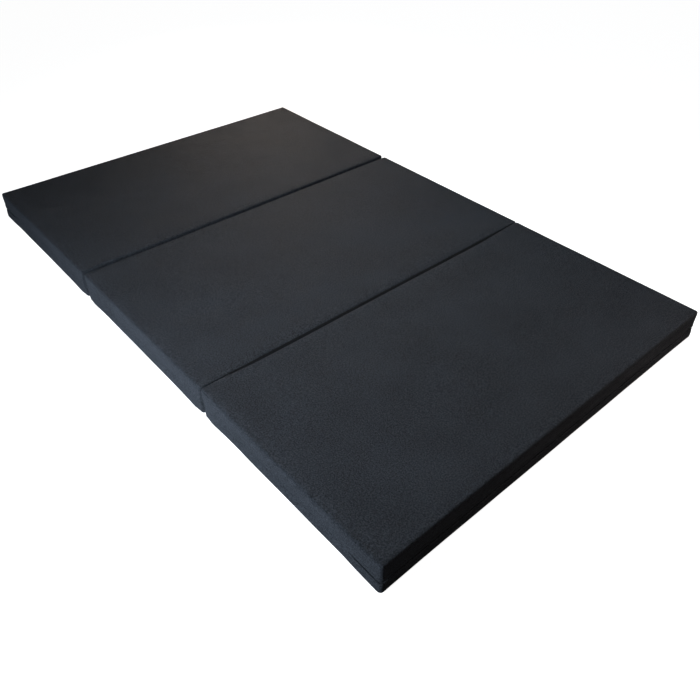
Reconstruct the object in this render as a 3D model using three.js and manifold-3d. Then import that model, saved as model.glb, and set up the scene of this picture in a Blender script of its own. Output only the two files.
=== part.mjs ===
// A tri-fold foam mattress: three covered foam panels in a row, joined by two cloth hinges.
// The middle panel folds over the foot panel, and the head panel folds back over the middle one.
//
// Frame, in millimetres: X along the length from head to foot, Y across the width, Z up.
// The origin is on the floor under the centre of the middle panel.

import * as THREE from "three";
import { mergeVertices } from "three/addons/utils/BufferGeometryUtils.js";
import Module from "manifold-3d";

const wasm = await Module();
wasm.setup();

// Driving dimensions
const LENGTH = 1900;
const WIDTH = 1200;
const THICKNESS = 90;
const FOLD_GAP = 5; // between two panels that lie flat
const CORNER_RADIUS = 16; // upright edges, seen from above
const EDGE_RADIUS = 7; // edges of the top and the bottom
const CLOTH = 2; // cover thickness
const CLEARANCE = 0.4; // between pieces that touch in the real mattress

// Zip: all depths are counted inwards from the outer face of the cover
const ZIP_HEIGHT = 33; // the closing line, above the floor
const ZIP_WRAP = 90; // how far an end panel's zip runs on round each corner
const ZIP_HALF_RUN = 280; // half the length of the middle panel's straight zip
const SLOT_HALF = 3.2; // half the height of the slot in the cover
const TAPE_HALF = 13; // from the closing line to a tape's outer edge
const TAPE_DEPTH = [6.6, 7.4];
const COIL_DEPTH = [4.5, 6.2];
const COIL_HALF = 2.7;
const COIL_SPLIT = 0.15; // from the closing line to each coil
const STOP_LENGTH = 3;
const TAPE_TAIL = 5; // how far the tapes run on past the coils
const RELIEF_DEPTH = 7.8; // the foam gives way round the tapes
const RELIEF_HALF = 13.5;
const SLIDER = { halfLength: 4.75, halfHeight: 4.3, plate: [3.1, 4.1], lip: 6.2, lipWidth: 1.2 };
const BAIL = { halfLength: 3.4, halfHeight: 0.7, top: 0.4, wall: 0.9 };
const PULL = { pivot: 2.2, halfThick: 0.5, halfHeight: 2.4, eye: 4.3, eyeHalf: 1.1, length: 23 };
const PARK_FROM_CORNER = 40; // where the closed slider stands

// Hinge cloth: each strip is caught in the panels' seams and hangs folded in the gap between them
const HINGE_CLOTH = 1.6;
const HINGE_DROP = 12;
const HINGE_FROM_FACE = 2.4;
const HINGE_END = 10; // how far the strip stops short of the mattress's sides

const ARC_STEPS = 3;
const EDGE_STEPS = 3;
const BIG = 4000;

const PANEL = (LENGTH - 2 * FOLD_GAP) / 3;
const PITCH = PANEL + FOLD_GAP;
const HALF_PANEL = PANEL / 2;
const HALF_WIDTH = WIDTH / 2;

const coverCloth = { color: 0x34363b, roughness: 0.9, metalness: 0 };
const foam = { color: 0xcfc9b4, roughness: 0.95, metalness: 0 };
const zipTape = { color: 0x17181a, roughness: 0.9, metalness: 0 };
const zipCoil = { color: 0x101012, roughness: 0.45, metalness: 0 };
const zipMetal = { color: 0x1b1b1d, roughness: 0.4, metalness: 0.6 };

// Solids

function toSolid(geometry) {
  const bare = geometry.clone();
  bare.deleteAttribute("normal");
  bare.deleteAttribute("uv");
  const merged = mergeVertices(bare, 1e-3);
  const mesh = new wasm.Mesh({
    numProp: 3,
    vertProperties: merged.attributes.position.array,
    triVerts: new Uint32Array(merged.index.array),
  });
  return new wasm.Manifold(mesh);
}

function toGeometry(solid) {
  const mesh = solid.getMesh();
  const geometry = new THREE.BufferGeometry();
  geometry.setAttribute("position", new THREE.BufferAttribute(mesh.vertProperties, 3));
  geometry.setIndex(new THREE.BufferAttribute(mesh.triVerts, 1));
  return geometry;
}

// A box from its low and high corners.
function box(low, high) {
  const size = high.map((value, axis) => value - low[axis]);
  const geometry = new THREE.BoxGeometry(...size);
  return geometry.translate(...high.map((value, axis) => (value + low[axis]) / 2));
}

// An outline drawn in plan and raised from one height to another.
function raised(shape, low, high) {
  const settings = { depth: high - low, bevelEnabled: false, curveSegments: ARC_STEPS };
  return new THREE.ExtrudeGeometry(shape, settings).translate(0, 0, low);
}

function roundedRectangle(halfX, halfY, radius) {
  const shape = new THREE.Shape();
  const quarter = Math.PI / 2;
  const centres = [[1, 1], [-1, 1], [-1, -1], [1, -1]];
  centres.forEach(([sideX, sideY], turn) => {
    const x = sideX * (halfX - radius);
    const y = sideY * (halfY - radius);
    shape.absarc(x, y, radius, turn * quarter, (turn + 1) * quarter, false);
  });
  return shape;
}

// The whole panel, with rounded edges, drawn in by the same amount on every side.
function panelBlock(inset) {
  const edge = EDGE_RADIUS - inset;
  const corner = CORNER_RADIUS - EDGE_RADIUS;
  const outline = roundedRectangle(HALF_PANEL - inset - edge, HALF_WIDTH - inset - edge, corner);
  const settings = {
    depth: THICKNESS - 2 * (inset + edge),
    bevelThickness: edge,
    bevelSize: edge,
    bevelSegments: EDGE_STEPS,
    curveSegments: ARC_STEPS,
  };
  return new THREE.ExtrudeGeometry(outline, settings).translate(0, 0, inset + edge);
}

// The plan of a band that follows an end panel's end face and both corners, between two depths.
function endBandPlan(outer, inner, wrap) {
  const shape = new THREE.Shape();
  const quarter = Math.PI / 2;
  const arcX = HALF_PANEL - CORNER_RADIUS;
  const arcY = HALF_WIDTH - CORNER_RADIUS;
  const tail = HALF_PANEL - wrap;
  shape.moveTo(tail, -(HALF_WIDTH - inner));
  shape.lineTo(tail, -(HALF_WIDTH - outer));
  shape.absarc(arcX, -arcY, CORNER_RADIUS - outer, -quarter, 0, false);
  shape.absarc(arcX, arcY, CORNER_RADIUS - outer, 0, quarter, false);
  shape.lineTo(tail, HALF_WIDTH - outer);
  shape.lineTo(tail, HALF_WIDTH - inner);
  shape.absarc(arcX, arcY, CORNER_RADIUS - inner, quarter, 0, true);
  shape.absarc(arcX, -arcY, CORNER_RADIUS - inner, 0, -quarter, true);
  shape.closePath();
  return shape;
}

// How far past the end of the coils a stop's middle stands.
const STOP_OFFSET = CLEARANCE + STOP_LENGTH / 2;

// Where a panel's zip lies. A piece on it is drawn with X along the zip, Y into the panel and Z up.
// band() makes a piece that follows the whole zip, and extra lengthens both its ends.
const endZip = {
  band: ([outer, inner], low, high, extra) =>
    raised(endBandPlan(outer, inner, ZIP_WRAP + extra), ZIP_HEIGHT + low, ZIP_HEIGHT + high),
  place: (group, along) => {
    group.position.set(HALF_PANEL, along, ZIP_HEIGHT);
    group.rotation.z = Math.PI / 2;
  },
  park: HALF_WIDTH - PARK_FROM_CORNER,
  placeStop: (group, side) => {
    group.position.set(HALF_PANEL - ZIP_WRAP - STOP_OFFSET, side * HALF_WIDTH, ZIP_HEIGHT);
    group.rotation.z = side > 0 ? Math.PI : 0;
  },
};

const sideZip = {
  band: ([outer, inner], low, high, extra) => {
    const half = ZIP_HALF_RUN + extra;
    const lowCorner = [-half, HALF_WIDTH - inner, ZIP_HEIGHT + low];
    return box(lowCorner, [half, HALF_WIDTH - outer, ZIP_HEIGHT + high]);
  },
  place: (group, along) => {
    group.position.set(along, HALF_WIDTH, ZIP_HEIGHT);
    group.rotation.z = Math.PI;
  },
  park: -(ZIP_HALF_RUN - PARK_FROM_CORNER),
  placeStop: (group, side) => {
    group.position.set(side * (ZIP_HALF_RUN + STOP_OFFSET), HALF_WIDTH, ZIP_HEIGHT);
    group.rotation.z = Math.PI;
  },
};

// Sub-parts

function named(name, geometry, finish) {
  const mesh = new THREE.Mesh(geometry, new THREE.MeshStandardMaterial(finish));
  mesh.name = name;
  return mesh;
}

function coverPart(zip, low, high) {
  const skin = toSolid(panelBlock(0)).subtract(toSolid(panelBlock(CLOTH)));
  const slot = toSolid(zip.band([-1, CLOTH + 1], -SLOT_HALF, SLOT_HALF, CLOTH));
  const keep = toSolid(box([-BIG, -BIG, low], [BIG, BIG, high]));
  return toGeometry(skin.intersect(keep).subtract(slot));
}

function foamCore(zip) {
  const block = toSolid(panelBlock(CLOTH + CLEARANCE));
  const tail = TAPE_TAIL + CLEARANCE;
  const relief = zip.band([-1, RELIEF_DEPTH], -RELIEF_HALF, RELIEF_HALF, tail);
  return toGeometry(block.subtract(toSolid(relief)));
}

// The slider rides over the coils: a plate with a lip on each side, and a bail that holds the pull tab.
// Depth points along +Y here, so a face at depth d lies at Y = d.
function slider() {
  const { halfLength, halfHeight, plate, lip, lipWidth } = SLIDER;
  const top = box([-halfLength, plate[0], -halfHeight], [halfLength, plate[1], halfHeight]);
  const lips = [-halfHeight, halfHeight - lipWidth].map((low) =>
    box([-halfLength, plate[1], low], [halfLength, lip, low + lipWidth]),
  );
  const solids = [bail(), ...lips].map(toSolid);
  return toGeometry(solids.reduce((sum, solid) => sum.add(solid), toSolid(top)));
}

function bail() {
  const { halfLength, halfHeight, top, wall } = BAIL;
  const foot = SLIDER.plate[0] + wall / 2;
  const arch = new THREE.Shape();
  arch.moveTo(-halfLength, foot);
  arch.lineTo(-halfLength, top + wall);
  arch.lineTo(-halfLength + wall, top);
  arch.lineTo(halfLength - wall, top);
  arch.lineTo(halfLength, top + wall);
  arch.lineTo(halfLength, foot);
  arch.lineTo(halfLength - wall, foot);
  arch.lineTo(halfLength - wall, top + wall);
  arch.lineTo(-halfLength + wall, top + wall);
  arch.lineTo(-halfLength + wall, foot);
  arch.closePath();
  return raised(arch, -halfHeight, halfHeight);
}

// The pull tab lies along the zip from its pivot at the bail, with the bail standing in its eye.
function pullTab() {
  const { pivot, halfThick, halfHeight, eye, eyeHalf, length } = PULL;
  const outline = new THREE.Shape();
  outline.moveTo(halfThick, -halfHeight);
  outline.lineTo(halfThick, halfHeight);
  outline.lineTo(-length + halfHeight, halfHeight);
  outline.absarc(-length + halfHeight, 0, halfHeight, Math.PI / 2, (3 * Math.PI) / 2, false);
  outline.closePath();
  const hole = new THREE.Path();
  hole.moveTo(-halfThick, -eyeHalf);
  hole.lineTo(-eye, -eyeHalf);
  hole.lineTo(-eye, eyeHalf);
  hole.lineTo(-halfThick, eyeHalf);
  hole.closePath();
  outline.holes.push(hole);
  return raised(outline, -halfThick, halfThick).rotateX(-Math.PI / 2).translate(0, pivot, 0);
}

function endStop() {
  const half = STOP_LENGTH / 2;
  const face = COIL_DEPTH[0] - CLEARANCE;
  return box([-half, face, -COIL_HALF], [half, COIL_DEPTH[1], COIL_HALF]);
}

// One panel with everything that its cover holds.
function panel(name, zip) {
  const group = new THREE.Group();
  const seam = CLEARANCE / 2;
  group.add(named(`${name}_foam_core`, foamCore(zip), foam));
  group.add(named(`${name}_cover_base`, coverPart(zip, -1, ZIP_HEIGHT - seam), coverCloth));
  group.add(named(`${name}_cover_top`, coverPart(zip, ZIP_HEIGHT + seam, BIG), coverCloth));

  const upper = (depth, from, to, extra) => zip.band(depth, from, to, extra);
  const lower = (depth, from, to, extra) => zip.band(depth, -to, -from, extra);
  for (const [side, half] of [["upper", upper], ["lower", lower]]) {
    const tape = half(TAPE_DEPTH, CLEARANCE, TAPE_HALF, TAPE_TAIL);
    const coil = half(COIL_DEPTH, COIL_SPLIT, COIL_HALF, 0);
    group.add(named(`${name}_zip_tape_${side}`, tape, zipTape));
    group.add(named(`${name}_zip_coil_${side}`, coil, zipCoil));
  }

  const carriage = new THREE.Group();
  zip.place(carriage, zip.park);
  carriage.add(named(`${name}_zip_slider`, slider(), zipMetal));
  carriage.add(named(`${name}_zip_pull_tab`, pullTab(), zipMetal));
  group.add(carriage);

  for (const [end, side] of [["first", 1], ["last", -1]]) {
    const seat = new THREE.Group();
    zip.placeStop(seat, side);
    seat.add(named(`${name}_zip_${end}_stop`, endStop(), zipMetal));
    group.add(seat);
  }
  return group;
}

// One leaf of a hinge strip, which stands in the gap against its panel's face.
function hingeLeaf(name, gapCentre, side, low) {
  const halfY = HALF_WIDTH - HINGE_END;
  const middle = gapCentre + side * (FOLD_GAP / 2 - CLEARANCE - HINGE_CLOTH / 2);
  const lowCorner = [middle - HINGE_CLOTH / 2, -halfY, low];
  const highCorner = [middle + HINGE_CLOTH / 2, halfY, low + HINGE_DROP];
  return named(name, box(lowCorner, highCorner), coverCloth);
}

const mattress = new THREE.Group();

const headPanel = panel("head", endZip);
headPanel.position.x = -PITCH;
headPanel.rotation.z = Math.PI;
mattress.add(headPanel);

mattress.add(panel("middle", sideZip));

const footPanel = panel("foot", endZip);
footPanel.position.x = PITCH;
mattress.add(footPanel);

// The head fold's strip is at the bottom of its gap and the foot fold's at the top.
const headFold = -PITCH / 2;
const footFold = PITCH / 2;
const topStrip = THICKNESS - HINGE_FROM_FACE - HINGE_DROP;
mattress.add(hingeLeaf("head_fold_hinge_head_leaf", headFold, -1, HINGE_FROM_FACE));
mattress.add(hingeLeaf("head_fold_hinge_middle_leaf", headFold, 1, HINGE_FROM_FACE));
mattress.add(hingeLeaf("foot_fold_hinge_middle_leaf", footFold, -1, topStrip));
mattress.add(hingeLeaf("foot_fold_hinge_foot_leaf", footFold, 1, topStrip));

export default mattress;
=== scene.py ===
import math

import bmesh
import bpy
from mathutils import Matrix, Vector, noise
from mathutils.bvhtree import BVHTree


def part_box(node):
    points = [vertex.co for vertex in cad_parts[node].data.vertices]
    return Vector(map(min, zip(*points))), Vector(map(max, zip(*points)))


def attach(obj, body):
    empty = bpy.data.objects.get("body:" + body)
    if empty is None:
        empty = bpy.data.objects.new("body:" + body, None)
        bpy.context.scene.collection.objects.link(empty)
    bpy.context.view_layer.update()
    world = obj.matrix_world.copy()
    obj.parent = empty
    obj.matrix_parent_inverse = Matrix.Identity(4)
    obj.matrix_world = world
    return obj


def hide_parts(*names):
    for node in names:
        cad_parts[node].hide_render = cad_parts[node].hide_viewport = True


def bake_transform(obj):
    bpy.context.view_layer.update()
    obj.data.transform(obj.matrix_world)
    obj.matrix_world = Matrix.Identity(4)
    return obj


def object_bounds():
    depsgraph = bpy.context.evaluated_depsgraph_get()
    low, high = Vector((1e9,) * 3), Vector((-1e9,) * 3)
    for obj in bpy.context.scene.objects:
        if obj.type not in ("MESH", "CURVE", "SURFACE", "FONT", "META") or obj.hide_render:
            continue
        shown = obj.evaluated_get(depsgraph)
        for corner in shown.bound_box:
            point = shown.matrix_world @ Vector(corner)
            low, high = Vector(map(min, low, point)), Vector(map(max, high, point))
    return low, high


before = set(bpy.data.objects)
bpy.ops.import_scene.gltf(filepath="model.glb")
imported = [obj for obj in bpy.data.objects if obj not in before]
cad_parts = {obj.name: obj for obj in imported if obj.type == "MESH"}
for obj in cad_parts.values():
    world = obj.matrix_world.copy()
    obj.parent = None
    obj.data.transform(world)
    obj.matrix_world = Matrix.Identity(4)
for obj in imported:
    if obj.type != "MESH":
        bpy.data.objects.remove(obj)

# A tri-fold foam mattress. Everything is in metres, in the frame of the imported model:
# X runs from the head panel to the foot panel, Y across the width, Z up.

CAD_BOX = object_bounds()
MM = 0.001

PANELS = ("head", "middle", "foot")
BOX = {name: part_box(name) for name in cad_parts}
PANEL_BOX = {panel: (BOX[f"{panel}_cover_base"][0], BOX[f"{panel}_cover_top"][1]) for panel in PANELS}
HALF_LENGTH = CAD_BOX[1].x
HALF_WIDTH = CAD_BOX[1].y
THICKNESS = CAD_BOX[1].z
CORNER = 16 * MM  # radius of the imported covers' upright edges

# The covers
GRID = 15 * MM  # spacing of the cloth's points before it is plumped
UPRIGHT_ROUND = 7 * MM  # radius of a panel's upright edges
EDGE_ROUND = 6 * MM  # radius of the edges of its top
FLOOR_EDGE_ROUND = 4 * MM  # radius of the edges of its bottom
SIDE_SLACK = 0.2 * MM  # how much smaller than the box the cover is sewn
HEAD_FOLD_SLACK = 3.0 * MM  # the same at the walls that face each other across the head fold
FOOT_FOLD_SLACK = 1.2 * MM  # the same across the foot fold
CROWN = 1.0 * MM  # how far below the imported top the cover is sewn, to leave room for its swelling
FABRIC = 1.0 * MM  # cover cloth
FOAM_INSET = 2.2 * FABRIC  # from the cover's outside to the foam
SHARP = 1.2  # edges that turn by more than this, in radians, are rounded
UPRIGHT_SEGMENTS = 4
LEVEL_SEGMENTS = 3
PLUMP_PRESSURE = 4.0
PLUMP_FRAMES = 20
PLUMP_CAP = 3.5 * MM
SWELL_CAP = 1.5 * MM  # how far a wall may swell outwards
FOLD_SWELL_CAP = 0.6 * MM  # the same into a fold
SHRINK_CAP = 0.4 * MM  # how far the foam lets an edge be drawn in

# How the cut and the sewing change a panel's outer walls and its top
WALL_REACH = 14 * MM  # how far in from the outline a wall's moves fade out
CORNER_NEAR = 15 * MM  # a corner's moves are full within this distance of it
CORNER_FAR = 130 * MM  # and gone at this one
WAIST = 2.6 * MM  # how far a wall is drawn in between its corners
ZIP_FIRMNESS = 2.2 * MM  # how much of that a zip holds back
WAIST_HEIGHT = 0.4 * THICKNESS
WAIST_SPAN = 0.75 * THICKNESS
FOOT_SPREAD = 2.0 * MM  # how far a wall spreads at the floor
FOOT_CORNER_SPREAD = 0.8 * MM  # and how much more at a corner
FOOT_LOW = 0.1 * THICKNESS
FOOT_HIGH = 0.45 * THICKNESS
WAVE_RISE = 0.8 * MM  # slow waves of the top
RIPPLE_RISE = 0.3 * MM  # smaller waves on them
TOP_SETTLE = 0.3 * MM  # how far the top as a whole sinks
WALL_SLACK = 0.5 * MM  # unevenness of the walls

# The closing seam that runs round each cover, and the zip in it
ZIP_LINE = (BOX["foot_cover_base"][1].z + BOX["foot_cover_top"][0].z) / 2
SEAM_HALF = 0.02 * MM  # half the gap between the sewn halves, too narrow to see the foam through
SLOT_HALF = 2.8 * MM  # half the height of the slot over a zip
SLOT_FADE = 5 * MM  # a slot closes over this distance on each side of its zip's end
LIP_ROUND = 1.5 * MM  # radius of the cloth's edge as it turns into the seam
LIP_REACH = 12 * MM  # how far above and below the seam the slot bends the cloth
HEM_LEAST = 0.3 * MM  # the least that an edge is turned in
HEM_DEPTH = 2.9 * MM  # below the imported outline, so that the slider's plate runs under it
ZIP_WRAP = HALF_LENGTH - BOX["foot_zip_coil_upper"][0].x  # how far an end panel's zip runs back from its end
RELIEF = 15 * MM  # half the height of the stretch of foam that a zip presses in
RELIEF_DEPTH = 8.4 * MM
FLAP_LINE = 16 * MM  # the flap's stitches, above the zip
LOWER_LINE = 7 * MM  # the lower tape's stitches, below the zip
GROOVE_HALF = 2.2 * MM  # half the width of a stitched groove
STITCH_GROOVE = 0.7 * MM
FLAP_PUFF = 1.1  # how far the flap swells between its grooves, as a share of their depth
TOP_SEAM = THICKNESS - 9 * MM  # heights of the seams round the top and the bottom, and their depth
FLOOR_SEAM = 8 * MM
EDGE_SEAM_GROOVE = 0.5 * MM
LIP_LEVELS = (0.5 * MM, 1.1 * MM, 1.9 * MM, 3.2 * MM, 5 * MM)  # rows of points that a lip needs
LINE_LEVELS = (-2.2 * MM, -1.1 * MM, 0.0, 1.1 * MM, 2.2 * MM)  # rows that a groove needs
STITCH = Vector((2.6, 0.5, 0.6)) * MM  # along the seam, out of the wall, up
STITCH_PITCH = 3.8 * MM
STITCH_ROUND = 0.15 * MM
STITCH_START = 6 * MM  # how far outside the wall the cloth is looked for
TOOTH = Vector((0.85, 1.6, 3.0)) * MM
TOOTH_PITCH = 1.5 * MM
TOOTH_ROUND = 0.22 * MM
TOOTH_BITE = 0.4 * MM  # how far a tooth reaches past the closing line
COIL_MID = (HALF_WIDTH - BOX["foot_zip_coil_upper"][1].y) + TOOTH.y / 2 + 0.05 * MM

# The folds
FOLD_WALL = 20 * MM  # how near to another panel a point belongs to the wall that faces it
HEAD_UNDERCUT = 3.6 * MM  # how far the head fold's walls are drawn in between their lips and the hinge cloth
FOOT_FOLD_END = (HALF_WIDTH - 200 * MM, HALF_WIDTH - 20 * MM)  # where the foot fold changes towards its ends
FOOT_FOLD_SINK = 2.2 * MM  # how far its edges are drawn down along its middle
FOOT_FOLD_CLOSING = 3.1 * MM  # how far its walls are drawn together at its ends
FOOT_FOLD_LIFT = 2.2 * MM  # how far its edges are drawn up at its ends
FOLD_HEAD_X = (BOX["head_cover_top"][1].x + BOX["middle_cover_top"][0].x) / 2
FOLD_FOOT_X = (BOX["middle_cover_top"][1].x + BOX["foot_cover_top"][0].x) / 2
STRIP_CLOTH = 1.0 * MM
STRIP_HALF_WIDTH = BOX["foot_fold_hinge_foot_leaf"][1].y
# Each of these is the size along the middle of a strip, and how much smaller it is at its ends
STRIP_GAP = (3.6, 1.2)  # half the distance between its two seams, mm
STRIP_LEG = (6.0, 3.2)  # its straight part below each seam, mm
STRIP_SEAM = (4.0, 1.8)  # how far its seams lie from the panels' edge, mm
STRIP_SWAY = 0.5 * MM


# ---------------------------------------------------------------- helpers


def smooth_step(low, high, value):
    """0 below low and 1 above high, with a soft change between them."""
    t = min(1.0, max(0.0, (value - low) / (high - low)))
    return t * t * (3 - 2 * t)


def bump_at(centre, half, value):
    """1 at centre, fading to 0 at half on each side."""
    return 1 - smooth_step(0, half, abs(value - centre))


def outline(panel, point):
    """How far a point lies inside a panel's packed outline, and the level direction out of it."""
    low, high = PANEL_BOX[panel]
    x = min(max(point.x, low.x + CORNER), high.x - CORNER)
    y = min(max(point.y, low.y + CORNER), high.y - CORNER)
    away = Vector((point.x - x, point.y - y, 0.0))
    if away.length > 1e-6:
        return CORNER - away.length, away.normalized()
    gaps = {
        (1, 0, 0): high.x - point.x,
        (-1, 0, 0): point.x - low.x,
        (0, 1, 0): high.y - point.y,
        (0, -1, 0): point.y - low.y,
    }
    nearest = min(gaps, key=gaps.get)
    return gaps[nearest], Vector(nearest)


def make_object(name, bm, smooth=True):
    mesh = bpy.data.meshes.new(name)
    for face in bm.faces:
        face.smooth = smooth
    bm.to_mesh(mesh)
    bm.free()
    obj = bpy.data.objects.new(name, mesh)
    bpy.context.scene.collection.objects.link(obj)
    return obj


def finish_piece(obj, material, body):
    obj.data.materials.append(MATERIALS[material])
    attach(obj, body)


def bake_modifiers(obj):
    """Replaces a mesh by what its modifiers make of it."""
    depsgraph = bpy.context.evaluated_depsgraph_get()
    shaped = bpy.data.meshes.new_from_object(obj.evaluated_get(depsgraph))
    obj.modifiers.clear()
    obj.data = shaped
    return obj


def add_modifier(obj, kind, **settings):
    modifier = obj.modifiers.new(kind.lower(), kind)
    for key, value in settings.items():
        setattr(modifier, key, value)
    return modifier


def cut_level(bm, height):
    geometry = bm.verts[:] + bm.edges[:] + bm.faces[:]
    bmesh.ops.bisect_plane(bm, geom=geometry, plane_co=(0, 0, height), plane_no=(0, 0, 1), dist=1e-6)


# ---------------------------------------------------------------- covers


def grid_block(low, high, step):
    """A closed box with a grid of points on every face."""
    size = high - low
    place = Matrix.Translation((low + high) / 2) @ Matrix.Diagonal((*size, 1))
    bm = bmesh.new()
    bmesh.ops.create_cube(bm, size=1.0, matrix=place)
    for axis in range(3):
        along = [e for e in bm.edges if abs((e.verts[0].co - e.verts[1].co)[axis]) > 1e-6]
        bmesh.ops.subdivide_edges(bm, edges=along, cuts=round(size[axis] / step) - 1, use_grid_fill=True)
    return bm


def round_edges(bm):
    def sharp(edge):
        return edge.calc_face_angle(0.0) > SHARP

    def bevel(edges, radius, segments):
        bmesh.ops.bevel(
            bm, geom=edges, offset=radius, offset_type="OFFSET", segments=segments,
            profile=0.5, affect="EDGES", material=-1, clamp_overlap=True,
        )

    standing = [e for e in bm.edges if sharp(e) and abs((e.verts[0].co - e.verts[1].co).z) > 1e-6]
    bevel(standing, UPRIGHT_ROUND, UPRIGHT_SEGMENTS)
    half_up = THICKNESS / 2
    bevel([e for e in bm.edges if sharp(e) and e.verts[0].co.z > half_up], EDGE_ROUND, LEVEL_SEGMENTS)
    lower = [e for e in bm.edges if sharp(e) and e.verts[0].co.z < half_up]
    bevel(lower, FLOOR_EDGE_ROUND, LEVEL_SEGMENTS)


def plumped(obj):
    """Where the cloth's points end when it is filled, without gravity."""
    cloth = obj.modifiers.new("plump", "CLOTH")
    settings = cloth.settings
    settings.quality = 6
    settings.mass = 0.3
    settings.tension_stiffness = 15
    settings.compression_stiffness = 15
    settings.shear_stiffness = 5
    settings.bending_stiffness = 0.5
    settings.use_pressure = True
    settings.uniform_pressure_force = PLUMP_PRESSURE
    settings.effector_weights.gravity = 0
    cloth.collision_settings.use_collision = False
    cloth.point_cache.frame_start = 1
    cloth.point_cache.frame_end = PLUMP_FRAMES
    for number in range(1, PLUMP_FRAMES + 1):
        bpy.context.scene.frame_set(number)
    depsgraph = bpy.context.evaluated_depsgraph_get()
    points = [v.co.copy() for v in obj.evaluated_get(depsgraph).data.vertices]
    obj.modifiers.remove(cloth)
    bpy.context.scene.frame_set(1)
    return points


def settle(panel, rest, moved):
    """A plumped point, held to what foam lets the cloth do: it swells little and lies flat on the floor."""
    depth, out = outline(panel, rest)
    step = moved - rest
    if step.length > PLUMP_CAP:
        step *= PLUMP_CAP / step.length
    if depth < CORNER:
        push = step.dot(out)
        most = FOLD_SWELL_CAP if at_fold(panel, rest) else SWELL_CAP
        step += out * (min(max(push, -SHRINK_CAP), most) - push)
        step.z = max(step.z, -SHRINK_CAP)
    on_floor = 1 - smooth_step(0.5 * EDGE_ROUND, 1.5 * EDGE_ROUND, rest.z)
    step.z *= 1 - on_floor
    point = rest + step
    point.z = min(point.z, THICKNESS)
    return point


def shaped(panel, point):
    """The small moves that the cut and the sewing give: waisted sides, spread feet, folds and slow waves."""
    low, high = PANEL_BOX[panel]
    depth, out = outline(panel, point)
    wall = 1 - smooth_step(0, WALL_REACH, depth)
    if not at_fold(panel, point):
        x_gap = min(point.x - low.x, high.x - point.x)
        y_gap = HALF_WIDTH - abs(point.y)
        corner = 1 - smooth_step(CORNER_NEAR, CORNER_FAR, max(x_gap, y_gap))
        waist = (1 - corner) * wall * bump_at(WAIST_HEIGHT, WAIST_SPAN, point.z)
        point = point - out * ((WAIST - ZIP_FIRMNESS * zip_share(panel, point)) * waist)
        foot = (1 - smooth_step(FOOT_LOW, FOOT_HIGH, point.z)) * wall
        point = point + out * ((FOOT_SPREAD + FOOT_CORNER_SPREAD * corner) * foot)
    point = fold_shape(panel, point)
    top = smooth_step(0.75 * THICKNESS, THICKNESS, point.z)
    wave = noise.noise(Vector((point.x * 5.1, point.y * 3.7, 4.2)))
    ripple = noise.noise(Vector((point.x * 17.0, point.y * 13.0, 9.7)))
    point.z += top * (WAVE_RISE * wave + RIPPLE_RISE * ripple - TOP_SETTLE)
    slack = noise.noise(Vector((point.x * 9.0, point.y * 9.0, point.z * 25.0)))
    return point + out * (wall * (1 - top) * WALL_SLACK * slack)


def at_fold(panel, point):
    """True on a wall that faces another panel."""
    low, high = PANEL_BOX[panel]
    near_low = point.x - low.x < FOLD_WALL and panel != "head"
    near_high = high.x - point.x < FOLD_WALL and panel != "foot"
    return near_low or near_high


def fold_shape(panel, point):
    """A point of a panel with the folds' moves added to it."""
    open_head_fold(point)
    if panel != "head":
        close_foot_fold(point)
    return point


def open_head_fold(point):
    """The head fold stands open: its walls are drawn in between their lips and the hinge cloth."""
    away = abs(point.x - FOLD_HEAD_X)
    if away >= CORNER:
        return
    side = -1 if point.x < FOLD_HEAD_X else 1
    below_lip = 1 - smooth_step(THICKNESS - 15 * MM, THICKNESS - 4 * MM, point.z)
    above_strip = smooth_step(14 * MM, 30 * MM, point.z)
    point.x += side * HEAD_UNDERCUT * below_lip * above_strip * (1 - away / CORNER)


def close_foot_fold(point):
    """The cloth that joins the tops draws the foot fold down along its middle, and closes it at its ends."""
    side = -1 if point.x < FOLD_FOOT_X else 1
    away = abs(point.x - FOLD_FOOT_X)
    end = smooth_step(*FOOT_FOLD_END, abs(point.y))
    near = 1 - smooth_step(2 * MM, 30 * MM, away)
    high_up = smooth_step(0.55 * THICKNESS, 0.9 * THICKNESS, point.z)
    point.z -= FOOT_FOLD_SINK * near * high_up * (1 - end)
    closing = FOOT_FOLD_CLOSING * end * smooth_step(0.45 * THICKNESS, 0.8 * THICKNESS, point.z)
    point.x -= side * closing * (1 - smooth_step(4 * MM, 20 * MM, away))
    lift = FOOT_FOLD_LIFT * end * (1 - smooth_step(3 * MM, 12 * MM, away))
    point.z += lift * smooth_step(0.88 * THICKNESS, 0.97 * THICKNESS, point.z)


def cover_form(panel):
    """The cover's closed outer shape: sewn a little small, filled, then smoothed."""
    low, high = PANEL_BOX[panel]
    low_x, high_x = {
        "head": (SIDE_SLACK, HEAD_FOLD_SLACK),
        "middle": (HEAD_FOLD_SLACK, FOOT_FOLD_SLACK),
        "foot": (FOOT_FOLD_SLACK, SIDE_SLACK),
    }[panel]
    low_slack = Vector((low_x, SIDE_SLACK, 0))
    high_slack = Vector((high_x, SIDE_SLACK, CROWN))
    bm = grid_block(low + low_slack, high - high_slack, GRID)
    round_edges(bm)
    obj = make_object(f"{panel}_form", bm)
    rest = [v.co.copy() for v in obj.data.vertices]
    filled = plumped(obj)
    for vertex, before, after in zip(obj.data.vertices, rest, filled):
        vertex.co = shaped(panel, settle(panel, before, after))
    add_modifier(obj, "SUBSURF", levels=1, render_levels=1)
    return bake_modifiers(obj)


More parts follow.
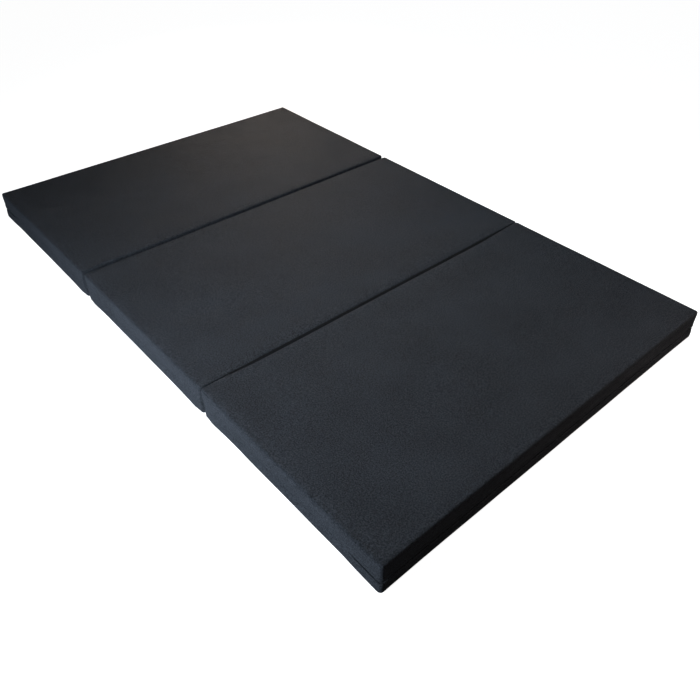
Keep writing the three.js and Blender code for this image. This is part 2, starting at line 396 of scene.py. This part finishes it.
def zip_share(panel, point):
    """1 along the stretch of the closing seam that has the zip in it, 0 on the rest of it."""
    low, high = PANEL_BOX[panel]
    coil_low, coil_high = BOX[f"{panel}_zip_coil_upper"]
    share = 1.0
    for axis in (0, 1):
        if coil_low[axis] - low[axis] > CORNER:
            share *= smooth_step(coil_low[axis] - SLOT_FADE, coil_low[axis] + SLOT_FADE, point[axis])
        if high[axis] - coil_high[axis] > CORNER:
            share *= 1 - smooth_step(coil_high[axis] - SLOT_FADE, coil_high[axis] + SLOT_FADE, point[axis])
    return share


def seam_groove(panel, point):
    """How far the stitched lines draw the cloth in at a point."""
    share = zip_share(panel, point)
    above = point.z - ZIP_LINE
    lines = bump_at(FLAP_LINE, GROOVE_HALF, above) + bump_at(-LOWER_LINE, GROOVE_HALF, above)
    puff = bump_at(0.5 * FLAP_LINE, 0.6 * FLAP_LINE, above)
    edges = bump_at(TOP_SEAM, GROOVE_HALF, point.z) + bump_at(FLOOR_SEAM, GROOVE_HALF, point.z)
    return STITCH_GROOVE * share * (lines - FLAP_PUFF * puff) + EDGE_SEAM_GROOVE * edges


def cover_levels(side):
    """The heights at which one half of a cover needs points, to fold at its lip and groove at its seams."""
    line = FLAP_LINE if side > 0 else -LOWER_LINE
    edge = TOP_SEAM if side > 0 else FLOOR_SEAM
    lips = [ZIP_LINE + side * level for level in LIP_LEVELS]
    stitches = [ZIP_LINE + line + level for level in LINE_LEVELS]
    seams = [edge + level for level in LINE_LEVELS]
    return lips + stitches + seams


def cover_half(panel, form, name, side):
    """The top (side 1) or the base (side -1) of a cover, with its edge turned in at the closing seam."""
    bm = bmesh.new()
    bm.from_mesh(form.data)
    geometry = bm.verts[:] + bm.edges[:] + bm.faces[:]
    bmesh.ops.bisect_plane(
        bm, geom=geometry, plane_co=(0, 0, ZIP_LINE), plane_no=(0, 0, -side),
        dist=1e-6, clear_outer=True,
    )
    for height in cover_levels(side):
        cut_level(bm, height)
    rim = [e for e in bm.edges if e.is_boundary]
    for vertex in bm.verts:
        turn_lip(panel, vertex, side)
    turned = bmesh.ops.extrude_edge_only(bm, edges=rim)
    for vertex in (v for v in turned["geom"] if isinstance(v, bmesh.types.BMVert)):
        depth, out = outline(panel, vertex.co)
        vertex.co -= out * max(HEM_LEAST, HEM_DEPTH - depth)
    bmesh.ops.recalc_face_normals(bm, faces=bm.faces)
    surface = BVHTree.FromBMesh(bm)
    obj = make_object(name, bm)
    add_modifier(obj, "SOLIDIFY", thickness=FABRIC, offset=-1.0)
    return obj, surface


def turn_lip(panel, vertex, side):
    """Opens the slot for the zip, rounds the cloth's edge into it and draws the stitched lines in."""
    depth, out = outline(panel, vertex.co)
    if depth > CORNER:
        return
    above = side * (vertex.co.z - ZIP_LINE)
    groove = seam_groove(panel, vertex.co)
    if above < LIP_REACH:
        opening = SEAM_HALF + (SLOT_HALF - SEAM_HALF) * zip_share(panel, vertex.co)
        rolled = max(0.0, LIP_ROUND - above)
        draw = LIP_ROUND - math.sqrt(max(0.0, LIP_ROUND**2 - rolled**2))
        vertex.co.z += side * opening * (1 - max(0.0, above) / LIP_REACH) ** 2
        vertex.co -= out * draw
    vertex.co -= out * groove


# ---------------------------------------------------------------- foam


def foam_core(panel, form):
    """The foam block in a cover: the cover's own shape, a little smaller, pressed in behind the zip."""
    bm = bmesh.new()
    bm.from_mesh(form.data)
    for height in (-1.0, -0.8, 0.8, 1.0):
        cut_level(bm, ZIP_LINE + height * RELIEF)
    bm.normal_update()
    normals = {v: v.normal.copy() for v in bm.verts}
    for vertex, normal in normals.items():
        depth, out = outline(panel, vertex.co)
        vertex.co -= normal * FOAM_INSET
        if depth < CORNER:
            close = 1 - smooth_step(0.8 * RELIEF, RELIEF, abs(vertex.co.z - ZIP_LINE))
            pressed = close * zip_share(panel, vertex.co)
            vertex.co -= out * (max(0.0, RELIEF_DEPTH - depth) * pressed)
    obj = make_object(f"{panel}_foam", bm)
    finish_piece(obj, "foam", f"{panel}_panel")
    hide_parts(f"{panel}_foam_core")


# ---------------------------------------------------------------- zips


def run_at(panel, depth, distance):
    """The point at a distance along an end panel's zip, and the directions along it and out of the wall."""
    turn = 1 if panel == "foot" else -1
    start = HALF_LENGTH - ZIP_WRAP
    side = ZIP_WRAP - CORNER
    radius = CORNER - depth
    quarter = radius * math.pi / 2
    front = 2 * (HALF_WIDTH - CORNER)
    x_mid = HALF_LENGTH - CORNER
    y_mid = HALF_WIDTH - CORNER
    if distance < side:
        place, along, out = (start + distance, HALF_WIDTH - depth), (1, 0), (0, 1)
    elif distance < side + quarter:
        angle = (distance - side) / radius
        out = (math.sin(angle), math.cos(angle))
        along = (math.cos(angle), -math.sin(angle))
        place = (x_mid + radius * out[0], y_mid + radius * out[1])
    elif distance < side + quarter + front:
        place = (HALF_LENGTH - depth, y_mid - (distance - side - quarter))
        along, out = (0, -1), (1, 0)
    elif distance < side + 2 * quarter + front:
        angle = (distance - side - quarter - front) / radius
        out = (math.cos(angle), -math.sin(angle))
        along = (-math.sin(angle), -math.cos(angle))
        place = (x_mid + radius * out[0], -y_mid + radius * out[1])
    else:
        past = distance - side - 2 * quarter - front
        place, along, out = (x_mid - past, depth - HALF_WIDTH), (-1, 0), (0, -1)
    return (
        Vector((turn * place[0], turn * place[1], ZIP_LINE)),
        Vector((turn * along[0], turn * along[1], 0)),
        Vector((turn * out[0], turn * out[1], 0)),
    )


def zip_stations(panel, depth, pitch):
    """Stations a pitch apart along a panel's zip: point, direction along, direction out of the wall."""
    low, high = BOX[f"{panel}_zip_coil_upper"]
    if panel == "middle":
        count = int((high.x - low.x) / pitch)
        spots = [Vector((low.x + (n + 0.5) * pitch, HALF_WIDTH - depth, ZIP_LINE)) for n in range(count)]
        return [(spot, Vector((1, 0, 0)), Vector((0, 1, 0))) for spot in spots]
    total = 2 * (ZIP_WRAP - CORNER) + (CORNER - depth) * math.pi + 2 * (HALF_WIDTH - CORNER)
    return [run_at(panel, depth, (n + 0.5) * pitch) for n in range(int(total / pitch))]


def row_of_bars(name, places, size, round_off):
    """Many small bevelled bars, one at each (point, along, out)."""
    bm = bmesh.new()
    for point, along, out in places:
        axes = Matrix((along, out, (0, 0, 1))).transposed().to_4x4()
        place = Matrix.Translation(point) @ axes @ Matrix.Diagonal((*size, 1))
        bmesh.ops.create_cube(bm, size=1.0, matrix=place)
    bmesh.ops.bevel(
        bm, geom=bm.edges[:], offset=round_off, offset_type="OFFSET", segments=1,
        profile=0.5, affect="EDGES", material=-1,
    )
    return make_object(name, bm)


def zip_coil(panel, half, side):
    """One row of a coil's loops, set half a pitch from the other row's so that the two mesh."""
    first = 0 if side > 0 else 1
    lift = Vector((0, 0, side * (TOOTH.z / 2 - TOOTH_BITE)))
    stations = zip_stations(panel, COIL_MID, TOOTH_PITCH / 2)[first::2]
    places = [(point + lift, along, out) for point, along, out in stations]
    coil = row_of_bars(f"{panel}_coil_{half}_loops", places, TOOTH, TOOTH_ROUND)
    finish_piece(coil, "coil", f"{panel}_panel")
    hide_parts(f"{panel}_zip_coil_{half}")


def zip_stitches(panel, surface, name, height):
    """A row of stitches that lie on the cover beside the zip."""
    places = []
    for point, along, out in zip_stations(panel, -STITCH_START, STITCH_PITCH):
        point.z += height
        found = surface.ray_cast(point, -out, 2 * CORNER)[0]
        if found is not None:
            places.append((found - out * (0.1 * STITCH.y), along, out))
    row = row_of_bars(f"{panel}_{name}", places, STITCH, STITCH_ROUND)
    finish_piece(row, "thread", f"{panel}_panel")


def keep_zip_parts(panel):
    """The tapes, slider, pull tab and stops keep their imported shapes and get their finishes."""
    finishes = {
        "zip_tape_upper": "tape",
        "zip_tape_lower": "tape",
        "zip_slider": "metal",
        "zip_pull_tab": "metal",
        "zip_first_stop": "metal",
        "zip_last_stop": "metal",
    }
    for part, finish in finishes.items():
        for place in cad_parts[f"{panel}_{part}"].material_slots:
            place.material = MATERIALS[finish]


# ---------------------------------------------------------------- fold hinges


def strip_point(across, along):
    """Where a point of the strip lies: its distance from the fold in X, and how far it hangs.

    across and along run from -1 to 1 over the strip.
    """
    end = smooth_step(0.72, 0.98, abs(along))
    half_gap, leg, seam = ((size - less * end) * MM for size, less in (STRIP_GAP, STRIP_LEG, STRIP_SEAM))
    angle = min(1.0, abs(across) * 2) * math.pi / 2
    x = math.copysign(half_gap * math.sin(angle), across)
    hang = half_gap * math.cos(angle) + leg * (1 - max(0.0, 2 * abs(across) - 1))
    sway = STRIP_SWAY * noise.noise(Vector((along * 9.0, 0.3, 1.7)))
    return x, seam + hang + sway


def hinge_strip(name, fold_x, leaves, up):
    """A strip of cloth sewn to two panels' facing walls, with a soft loop between its seams.

    up is 1 for the strip at the tops, whose loop hangs down, and -1 for the one at the bottoms.
    """
    bm = bmesh.new()
    bmesh.ops.create_grid(bm, x_segments=16, y_segments=110, size=1.0)
    for vertex in bm.verts:
        along = vertex.co.y
        x, drop = strip_point(vertex.co.x, along)
        z = THICKNESS - drop if up > 0 else drop
        vertex.co = Vector((fold_x + x, along * STRIP_HALF_WIDTH, z))
    bmesh.ops.recalc_face_normals(bm, faces=bm.faces)
    strip = make_object(name, bm)
    add_modifier(strip, "SOLIDIFY", thickness=STRIP_CLOTH, offset=0.0)
    strip.data.materials.append(MATERIALS["hinge"])
    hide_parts(*leaves)
    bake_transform(strip)


# ---------------------------------------------------------------- materials


def new_group(name, inputs, outputs):
    """An empty node group. inputs holds (type, name, default) for each socket, outputs (type, name)."""
    group = bpy.data.node_groups.new(name, "ShaderNodeTree")
    for kind, label, value in inputs:
        socket = group.interface.new_socket(name=label, in_out="INPUT", socket_type=kind)
        socket.default_value = value
    for kind, label in outputs:
        group.interface.new_socket(name=label, in_out="OUTPUT", socket_type=kind)
    return group, group.nodes.new("NodeGroupInput"), group.nodes.new("NodeGroupOutput")


def node(tree, kind, **settings):
    made = tree.nodes.new(kind)
    for key, value in settings.items():
        if key in made.inputs:
            made.inputs[key].default_value = value
        else:
            setattr(made, key, value)
    return made


def math_node(tree, operation, first, second=None):
    made = tree.nodes.new("ShaderNodeMath")
    made.operation = operation
    for slot, value in enumerate((first, second)):
        if value is None:
            continue
        if isinstance(value, (int, float)):
            made.inputs[slot].default_value = value
        else:
            tree.links.new(value, made.inputs[slot])
    return made.outputs[0]


def noise_at(tree, vector, scale, detail, roughness=0.5):
    made = tree.nodes.new("ShaderNodeTexNoise")
    made.inputs["Scale"].default_value = scale
    made.inputs["Detail"].default_value = detail
    made.inputs["Roughness"].default_value = roughness
    tree.links.new(vector, made.inputs["Vector"])
    return made.outputs["Fac"]


def colour_mix(tree, amount):
    """The sockets of a new colour mix: its first colour, its second colour and its result."""
    mix = tree.nodes.new("ShaderNodeMix")
    mix.data_type = "RGBA"
    tree.links.new(amount, socket_of(mix.inputs, "Factor_Float"))
    first = socket_of(mix.inputs, "A_Color")
    second = socket_of(mix.inputs, "B_Color")
    return first, second, socket_of(mix.outputs, "Result_Color")


def socket_of(sockets, identifier):
    """Finds a socket by its identifier, because a Mix node has hidden sockets that share a name."""
    return next(socket for socket in sockets if socket.identifier == identifier)


def cloth_group():
    """Woven cloth: crossing yarns as height, with a heather of lighter and darker fibres."""
    group, come, go = new_group(
        "woven_cloth",
        [
            ("NodeSocketColor", "Yarn", (0.03, 0.03, 0.03, 1)),
            ("NodeSocketColor", "Fleck", (0.06, 0.06, 0.06, 1)),
            ("NodeSocketFloat", "Yarns per metre", 900.0),
            ("NodeSocketFloat", "Weave depth", 0.2),
            ("NodeSocketFloat", "Roughness", 0.85),
        ],
        [("NodeSocketColor", "Color"), ("NodeSocketFloat", "Roughness"), ("NodeSocketVector", "Normal")],
    )
    place = node(group, "ShaderNodeTexCoord").outputs["Object"]
    parts = node(group, "ShaderNodeSeparateXYZ")
    group.links.new(place, parts.inputs[0])
    waves = []
    for axis in range(3):
        turns = math_node(group, "MULTIPLY", parts.outputs[axis], come.outputs["Yarns per metre"])
        waves.append(math_node(group, "SINE", math_node(group, "MULTIPLY", turns, math.pi)))
    crossings = []
    for one, other in ((0, 1), (1, 2), (2, 0)):
        crossings.append(math_node(group, "MULTIPLY", waves[one], waves[other]))
    weave = math_node(group, "ADD", math_node(group, "ADD", crossings[0], crossings[1]), crossings[2])
    fibres = noise_at(group, place, 300.0, 3.0, 0.6)
    clouds = noise_at(group, place, 7.0, 3.0, 0.55)
    height = math_node(group, "ADD", math_node(group, "MULTIPLY", weave, 0.35), fibres)
    bump = node(group, "ShaderNodeBump", Distance=0.0022)
    group.links.new(height, bump.inputs["Height"])
    group.links.new(come.outputs["Weave depth"], bump.inputs["Strength"])

    spread = node(group, "ShaderNodeMapRange", **{"From Min": 0.38, "From Max": 0.64})
    group.links.new(fibres, spread.inputs["Value"])
    patch = math_node(group, "MULTIPLY", math_node(group, "SUBTRACT", clouds, 0.5), 0.5)
    amount = math_node(group, "ADD", math_node(group, "MULTIPLY", spread.outputs[0], 0.85), patch)
    lit = math_node(group, "ADD", amount, math_node(group, "MULTIPLY", weave, 0.06))
    first, second, mixed = colour_mix(group, lit)
    group.links.new(come.outputs["Yarn"], first)
    group.links.new(come.outputs["Fleck"], second)
    rough = math_node(group, "ADD", come.outputs["Roughness"], math_node(group, "MULTIPLY", patch, 0.25))
    group.links.new(mixed, go.inputs["Color"])
    group.links.new(rough, go.inputs["Roughness"])
    group.links.new(bump.outputs["Normal"], go.inputs["Normal"])
    return group


def use_group(material, group, **values):
    """Places a group in a material, with its own values, and joins it to the shader."""
    tree = material.node_tree
    placed = tree.nodes.new("ShaderNodeGroup")
    placed.node_tree = group
    for key, value in values.items():
        placed.inputs[key.replace("_", " ")].default_value = value
    shader = tree.nodes["Principled BSDF"]
    for source, target in (("Color", "Base Color"), ("Roughness", "Roughness"), ("Normal", "Normal")):
        if source in placed.outputs:
            tree.links.new(placed.outputs[source], shader.inputs[target])
    return placed


def plain_material(name, **sockets):
    material = bpy.data.materials.new(name)
    material.use_nodes = True
    shader = material.node_tree.nodes["Principled BSDF"]
    for key, value in sockets.items():
        shader.inputs[key.replace("_", " ")].default_value = value
    return material


def cover_cloth_material(cloth):
    material = plain_material(
        "cover_cloth", Specular_IOR_Level=0.13, Sheen_Weight=0.04, Sheen_Roughness=0.45,
        Sheen_Tint=(0.75, 0.8, 0.95, 1),
    )
    use_group(
        material, cloth, Yarn=(0.0115, 0.0132, 0.0162, 1), Fleck=(0.060, 0.067, 0.080, 1),
        Yarns_per_metre=1100.0, Weave_depth=0.8, Roughness=0.62,
    )
    return material


# Hinge cloth: the cover's woven cloth, with its yarn and fleck colours darkened to paint the shade deep in
# the folds' gaps.
def hinge_painted_shade_material(cloth):
    material = plain_material("hinge_cloth", Specular_IOR_Level=0.25, Sheen_Weight=0.1)
    use_group(
        material, cloth, Yarn=(0.005, 0.0056, 0.0068, 1), Fleck=(0.012, 0.013, 0.016, 1),
        Yarns_per_metre=1400.0, Weave_depth=0.25, Roughness=0.85,
    )
    return material


def tape_material(cloth):
    material = plain_material("zip_tape", Specular_IOR_Level=0.3, Sheen_Weight=0.1)
    use_group(
        material, cloth, Yarn=(0.008, 0.008, 0.009, 1), Fleck=(0.020, 0.020, 0.022, 1),
        Yarns_per_metre=1900.0, Weave_depth=0.4, Roughness=0.8,
    )
    return material


def foam_material():
    """Cut foam: pale yellow, full of small cells."""
    material = plain_material("foam", Specular_IOR_Level=0.2)
    tree = material.node_tree
    place = node(tree, "ShaderNodeTexCoord").outputs["Object"]
    cells = node(tree, "ShaderNodeTexVoronoi", Scale=650.0)
    tree.links.new(place, cells.inputs["Vector"])
    clouds = noise_at(tree, place, 9.0, 3.0)
    tone = node(tree, "ShaderNodeValToRGB")
    tone.color_ramp.elements[0].color = (0.50, 0.44, 0.30, 1)
    tone.color_ramp.elements[1].color = (0.66, 0.61, 0.47, 1)
    mixed = math_node(tree, "ADD", math_node(tree, "MULTIPLY", cells.outputs["Distance"], 0.5), clouds)
    tree.links.new(mixed, tone.inputs["Fac"])
    bump = node(tree, "ShaderNodeBump", Strength=0.5, Distance=0.0015)
    tree.links.new(cells.outputs["Distance"], bump.inputs["Height"])
    shader = tree.nodes["Principled BSDF"]
    shader.inputs["Roughness"].default_value = 0.95
    tree.links.new(tone.outputs["Color"], shader.inputs["Base Color"])
    tree.links.new(bump.outputs["Normal"], shader.inputs["Normal"])
    return material


def coil_material():
    """Black nylon, drawn smooth, with a fine unevenness."""
    material = plain_material("zip_coil", Specular_IOR_Level=0.5)
    tree = material.node_tree
    place = node(tree, "ShaderNodeTexCoord").outputs["Object"]
    fine = noise_at(tree, place, 900.0, 2.0)
    tone = node(tree, "ShaderNodeValToRGB")
    tone.color_ramp.elements[0].color = (0.006, 0.006, 0.007, 1)
    tone.color_ramp.elements[1].color = (0.015, 0.015, 0.017, 1)
    rough = math_node(tree, "ADD", math_node(tree, "MULTIPLY", fine, 0.2), 0.25)
    shader = tree.nodes["Principled BSDF"]
    tree.links.new(fine, tone.inputs["Fac"])
    tree.links.new(tone.outputs["Color"], shader.inputs["Base Color"])
    tree.links.new(rough, shader.inputs["Roughness"])
    return material


def metal_material():
    """Black paint on cast zinc, worn through in small spots."""
    material = plain_material("zip_metal")
    tree = material.node_tree
    place = node(tree, "ShaderNodeTexCoord").outputs["Object"]
    spots = noise_at(tree, place, 700.0, 4.0, 0.7)
    worn = node(tree, "ShaderNodeMapRange", **{"From Min": 0.66, "From Max": 0.72})
    tree.links.new(spots, worn.inputs["Value"])
    paint, bare, mixed = colour_mix(tree, worn.outputs[0])
    paint.default_value = (0.012, 0.012, 0.013, 1)
    bare.default_value = (0.30, 0.30, 0.31, 1)
    rough = math_node(tree, "ADD", math_node(tree, "MULTIPLY", spots, 0.3), 0.22)
    bump = node(tree, "ShaderNodeBump", Strength=0.15, Distance=0.0002)
    tree.links.new(spots, bump.inputs["Height"])
    shader = tree.nodes["Principled BSDF"]
    tree.links.new(mixed, shader.inputs["Base Color"])
    tree.links.new(worn.outputs[0], shader.inputs["Metallic"])
    tree.links.new(rough, shader.inputs["Roughness"])
    tree.links.new(bump.outputs["Normal"], shader.inputs["Normal"])
    return material


def thread_material(cloth):
    material = plain_material("thread", Specular_IOR_Level=0.45, Sheen_Weight=0.1)
    use_group(
        material, cloth, Yarn=(0.016, 0.017, 0.020, 1), Fleck=(0.045, 0.047, 0.053, 1),
        Yarns_per_metre=3000.0, Weave_depth=0.15, Roughness=0.5,
    )
    return material


def make_materials():
    cloth = cloth_group()
    return {
        "cover": cover_cloth_material(cloth),
        "hinge": hinge_painted_shade_material(cloth),
        "tape": tape_material(cloth),
        "thread": thread_material(cloth),
        "coil": coil_material(),
        "metal": metal_material(),
        "foam": foam_material(),
    }


# ---------------------------------------------------------------- building


MATERIALS = make_materials()


def make_panel(panel):
    form = cover_form(panel)
    surfaces = {}
    for half, side in (("top", 1), ("base", -1)):
        cover, surfaces[half] = cover_half(panel, form, f"{panel}_{half}_cloth", side)
        finish_piece(cover, "cover", f"{panel}_panel")
        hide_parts(f"{panel}_cover_{half}")
    foam_core(panel, form)
    bpy.data.objects.remove(form)
    zip_coil(panel, "upper", 1)
    zip_coil(panel, "lower", -1)
    zip_stitches(panel, surfaces["top"], "flap_stitches", FLAP_LINE)
    zip_stitches(panel, surfaces["base"], "tape_stitches", -LOWER_LINE)
    keep_zip_parts(panel)


for panel_name in PANELS:
    make_panel(panel_name)

hinge_strip(
    "head_fold_strip", FOLD_HEAD_X,
    ("head_fold_hinge_head_leaf", "head_fold_hinge_middle_leaf"), -1,
)
hinge_strip(
    "foot_fold_strip", FOLD_FOOT_X,
    ("foot_fold_hinge_middle_leaf", "foot_fold_hinge_foot_leaf"), 1,
)


# ---------------------------------------------------------------- stage


FLOOR_DROP = 0.5 * MM  # keeps the floor out of the plane of the mattress's underside
FLOOR_HALF = 30.0
LENS = 35.62
LENS_SHIFT = (-0.0134, -0.0181)
CAMERA_PLACE = Vector((1.4424, -1.1156, 1.2415))
CAMERA_LOOK = Vector((-0.5669, 0.5177, -0.6408))
CAMERA_ROLL = math.radians(1.02)
WORLD_STRENGTH = 0.024
COOL = (0.80, 0.90, 1.0)
PALE_COOL = (0.78, 0.90, 1.0)
WARM = (1.0, 0.87, 0.77)
PALE_WARM = (1.0, 0.88, 0.82)
# name: (place, aim, size, watts, colour, full angle of the beam in degrees)
LIGHTS = {
    "key": ((0.4, -2.1, 0.5), (0.2, -0.6, 0.03), (0.6, 0.4), 23, COOL, 110),
    "back": ((-2.9, 1.8, 1.2), (-0.6, 0.45, 0.09), (0.9, 0.6), 3.8, WARM, 55),
    "window": ((-0.4, 1.4, 1.9), (0.75, -0.2, 0.05), (0.7, 0.7), 7.4, PALE_COOL, 90),
    "right": ((1.7, 1.6, 0.4), (0.97, 0.15, 0.03), (0.5, 0.4), 1.3, PALE_WARM, 60),
}


def floor_material():
    """A floor that looks white to the camera and throws little light back on the mattress."""
    material = bpy.data.materials.new("floor")
    material.use_nodes = True
    tree = material.node_tree
    tree.nodes.clear()
    out = tree.nodes.new("ShaderNodeOutputMaterial")
    seen = tree.nodes.new("ShaderNodeAddShader")
    glow = node(tree, "ShaderNodeEmission", Color=(1, 1, 1, 1), Strength=0.96)
    matt = node(tree, "ShaderNodeBsdfDiffuse", Color=(0.85, 0.85, 0.85, 1))
    dim = node(tree, "ShaderNodeBsdfDiffuse", Color=(0.10, 0.10, 0.10, 1))
    path = tree.nodes.new("ShaderNodeLightPath")
    pick = tree.nodes.new("ShaderNodeMixShader")
    tree.links.new(glow.outputs[0], seen.inputs[0])
    tree.links.new(matt.outputs[0], seen.inputs[1])
    tree.links.new(path.outputs["Is Camera Ray"], pick.inputs[0])
    tree.links.new(dim.outputs[0], pick.inputs[1])
    tree.links.new(seen.outputs[0], pick.inputs[2])
    tree.links.new(pick.outputs[0], out.inputs["Surface"])
    return material


def make_floor():
    bm = bmesh.new()
    bmesh.ops.create_grid(bm, x_segments=1, y_segments=1, size=FLOOR_HALF)
    bmesh.ops.translate(bm, verts=bm.verts, vec=(0, 0, -FLOOR_DROP))
    floor = make_object("floor", bm, smooth=False)
    floor.data.materials.append(floor_material())


def make_world():
    """White to the camera, and a dim cool light on everything else."""
    world = bpy.data.worlds.new("studio")
    world.use_nodes = True
    bpy.context.scene.world = world
    tree = world.node_tree
    tree.nodes.clear()
    out = tree.nodes.new("ShaderNodeOutputWorld")
    path = tree.nodes.new("ShaderNodeLightPath")
    lit = node(tree, "ShaderNodeBackground", Color=(0.92, 0.95, 1, 1), Strength=WORLD_STRENGTH)
    seen = node(tree, "ShaderNodeBackground", Color=(1, 1, 1, 1), Strength=1.0)
    pick = tree.nodes.new("ShaderNodeMixShader")
    tree.links.new(path.outputs["Is Camera Ray"], pick.inputs[0])
    tree.links.new(lit.outputs[0], pick.inputs[1])
    tree.links.new(seen.outputs[0], pick.inputs[2])
    tree.links.new(pick.outputs[0], out.inputs["Surface"])


def make_light(name, place, aim, size, power, colour, spread):
    """A rectangular soft box."""
    data = bpy.data.lights.new(name, "AREA")
    data.shape = "RECTANGLE"
    data.size, data.size_y = size
    data.energy = power
    data.color = colour
    data.spread = math.radians(spread)
    light = bpy.data.objects.new(name, data)
    light.location = place
    light.rotation_euler = (Vector(aim) - Vector(place)).to_track_quat("-Z", "Y").to_euler()
    bpy.context.scene.collection.objects.link(light)


def make_camera():
    data = bpy.data.cameras.new("camera")
    data.lens = LENS
    data.shift_x, data.shift_y = LENS_SHIFT
    camera = bpy.data.objects.new("camera", data)
    turn = CAMERA_LOOK.to_track_quat("-Z", "Y").to_matrix().to_4x4()
    camera.matrix_world = Matrix.Translation(CAMERA_PLACE) @ turn @ Matrix.Rotation(CAMERA_ROLL, 4, "Z")
    bpy.context.scene.collection.objects.link(camera)
    bpy.context.scene.camera = camera


make_floor()
make_world()
for light_name, light_values in LIGHTS.items():
    make_light(light_name, *light_values)
make_camera()
bpy.context.scene.view_settings.view_transform = "Standard"
